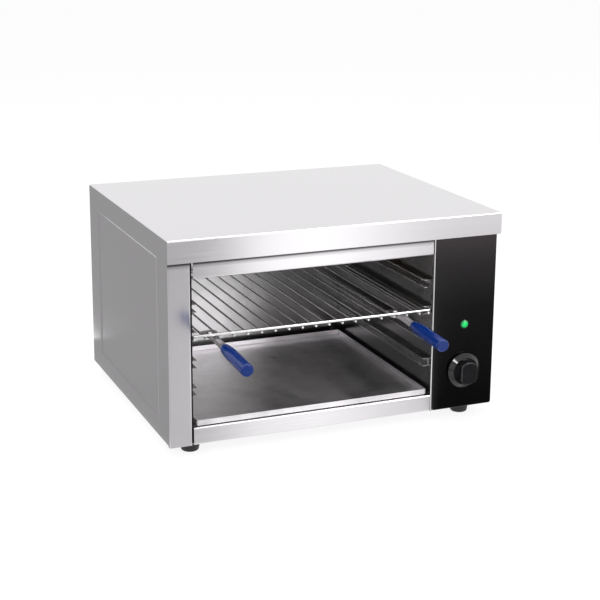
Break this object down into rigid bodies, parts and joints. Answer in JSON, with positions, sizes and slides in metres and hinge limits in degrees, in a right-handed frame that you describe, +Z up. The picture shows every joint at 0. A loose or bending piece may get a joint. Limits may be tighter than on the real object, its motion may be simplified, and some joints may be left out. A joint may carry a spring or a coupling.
{
  "type": "countertop cheese melter",
  "caption": "Open-fronted countertop melter with a heated steel cavity, wire rack on side guides, crumb tray and a control panel on the right.",
  "frame": {"origin": "bottom centre of the whole, on the surface that the feet stand on", "axes": "+X to the right as seen from the front, +Y from the open front to the back, +Z up"},
  "size_m": [0.6, 0.6508, 0.365],
  "materials": {
    "back_steel": "satin",
    "blue_grip": "gloss",
    "brass": "machined",
    "bright_fasteners": "bright",
    "bright_steel": "machined",
    "brushed_stainless": "brushed",
    "ceramic": "glazed bead",
    "chromed_plate": "satin",
    "chromed_wire": "bright",
    "copper_tube": "drawn",
    "dark_plastic": "moulded",
    "element_sheath": "oxidised",
    "foot_rubber": "matt",
    "galvanised_steel": "galvanised",
    "gloss_black": "gloss",
    "green_lens": "translucent",
    "guide_steel": "satin",
    "knob_plastic": "satin",
    "mineral_wool": "fibrous",
    "polished_stainless": "polished",
    "reflector_steel": "polished"
  },
  "bodies": {
    "body": {"outer_casing": "brushed_stainless", "back_panel": "back_steel", "back_panel_screws": "bright_fasteners", "base_pan": "galvanised_steel", "foot_front_left": "foot_rubber", "foot_front_right": "foot_rubber", "foot_rear_left": "foot_rubber", "foot_rear_right": "foot_rubber", "foot_screws": "bright_fasteners", "front_sill": "brushed_stainless", "front_header": "brushed_stainless", "control_fascia": "gloss_black", "left_cavity_wall": "polished_stainless", "control_partition": "brushed_stainless", "back_cavity_wall": "polished_stainless", "cavity_floor": "polished_stainless", "ceiling_reflector": "reflector_steel", "guide_left_1": "guide_steel", "guide_right_1": "guide_steel", "guide_left_2": "guide_steel", "guide_right_2": "guide_steel", "guide_left_3": "guide_steel", "guide_right_3": "guide_steel", "guide_left_4": "guide_steel", "guide_right_4": "guide_steel", "guide_rivets": "bright_fasteners", "heating_element_1": "element_sheath", "heating_element_2": "element_sheath", "heating_element_3": "element_sheath", "element_hangers": "element_sheath", "element_collars": "brass", "element_terminals": "ceramic", "top_insulation": "mineral_wool", "left_insulation": "mineral_wool", "thermostat_body": "dark_plastic", "thermostat_screws": "bright_fasteners", "pilot_lamp_barrel": "dark_plastic", "pilot_lamp_lens": "green_lens", "terminal_block": "dark_plastic", "earth_stud": "galvanised_steel", "cable_gland": "dark_plastic", "gland_nut": "dark_plastic", "sensor_bulb": "copper_tube", "sensor_capillary": "copper_tube", "sensor_clips": "copper_tube"},
    "knob": {"control_knob": "knob_plastic", "thermostat_shaft": "bright_steel"},
    "rack": {"rack_front_bar": "chromed_wire", "rack_rear_bar": "chromed_wire", "rack_side_rods": "chromed_wire", "rack_wires": "chromed_wire", "handle_shank_left": "chromed_plate", "handle_clamp_left": "chromed_plate", "handle_grip_left": "blue_grip", "handle_shank_right": "chromed_plate", "handle_clamp_right": "chromed_plate", "handle_grip_right": "blue_grip", "handle_screws": "bright_fasteners"},
    "tray": {"crumb_tray": "polished_stainless"}
  },
  "joints": [
    {"name": "knob_turn", "type": "hinge", "parent": "body", "child": "knob", "pos_m": [0.23465, -0.17108, 0.0885], "axis": [0, 1, 0], "range_deg": [0, 300]},
    {"name": "rack_slide", "type": "slide", "parent": "body", "child": "rack", "axis": [0, -1, 0], "range_m": [0, 0.3]},
    {"name": "tray_slide", "type": "slide", "parent": "body", "child": "tray", "axis": [0, -1, 0], "range_m": [0, 0.3]}
  ]
}
